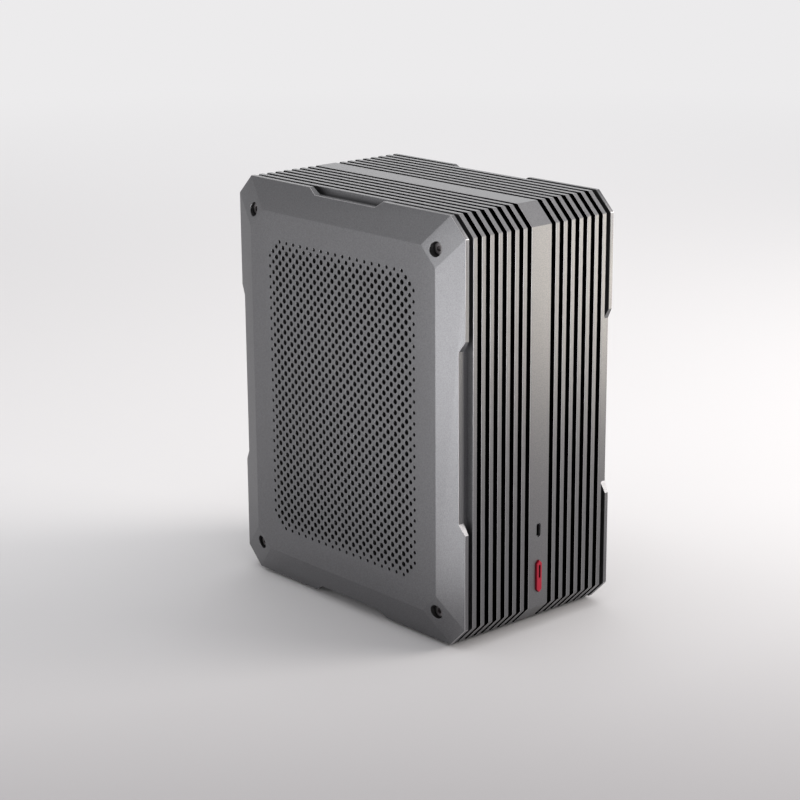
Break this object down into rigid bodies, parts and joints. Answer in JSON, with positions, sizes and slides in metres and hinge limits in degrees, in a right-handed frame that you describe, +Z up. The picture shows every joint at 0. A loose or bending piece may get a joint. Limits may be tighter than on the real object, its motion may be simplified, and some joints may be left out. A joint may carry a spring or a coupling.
{
  "type": "mini-itx computer case",
  "caption": "Small upright computer case with finned eight-sided shell, perforated bevelled side panels, front port, sliding power button and a tray for a small mainboard.",
  "frame": {"origin": "on the floor under the middle of the case", "axes": "+Z up, -Y out of the front, +X to the right seen from the front"},
  "size_m": [0.142, 0.2215, 0.277],
  "materials": {
    "anodised_shell": "bead-blasted, dark grey anodised",
    "black_screw": "black oxide",
    "coated_sheet": "fine black powder coat",
    "standoff_brass": "turned",
    "black_plastic": "moulded, matte",
    "circuit_board": "solder mask",
    "port_steel": "drawn, bright",
    "red_button": "satin red anodised",
    "smoked_lens": "clear moulded, dark red",
    "foot_rubber": "moulded, matte"
  },
  "bodies": {
    "case": {"top_fin_plate": "anodised_shell", "bottom_fin_plate": "anodised_shell", "front_fin_plate": "anodised_shell", "corner_block_front_bottom": "anodised_shell", "corner_block_front_top": "anodised_shell", "corner_block_rear_bottom": "anodised_shell", "corner_block_rear_top": "anodised_shell", "left_side_panel": "anodised_shell", "right_side_panel": "anodised_shell", "rear_panel": "anodised_shell", "rear_panel_screws": "black_screw", "left_panel_screws": "black_screw", "right_panel_screws": "black_screw", "tray_screws": "black_screw", "psu_bracket_screws": "black_screw", "slot_cover_screws": "black_screw", "power_inlet_screws": "black_screw", "front_io_screws": "black_screw", "motherboard_tray": "coated_sheet", "psu_bracket": "coated_sheet", "slot_cover_inner": "coated_sheet", "slot_cover_outer": "coated_sheet", "motherboard_standoffs": "standoff_brass", "power_inlet_pins": "standoff_brass", "power_inlet": "black_plastic", "usb_port_tongue": "black_plastic", "power_switch": "black_plastic", "front_io_board": "circuit_board", "usb_port_shell": "port_steel", "foot_front_left": "foot_rubber", "foot_front_right": "foot_rubber", "foot_rear_left": "foot_rubber", "foot_rear_right": "foot_rubber"},
    "button": {"power_button": "red_button", "button_light_bar": "smoked_lens"}
  },
  "joints": [
    {"name": "button_press", "type": "slide", "parent": "case", "child": "button", "axis": [0, 1, 0], "range_m": [0, 0.0006], "stiffness_N_per_m": 1500, "springref_m": -0.0006}
  ]
}
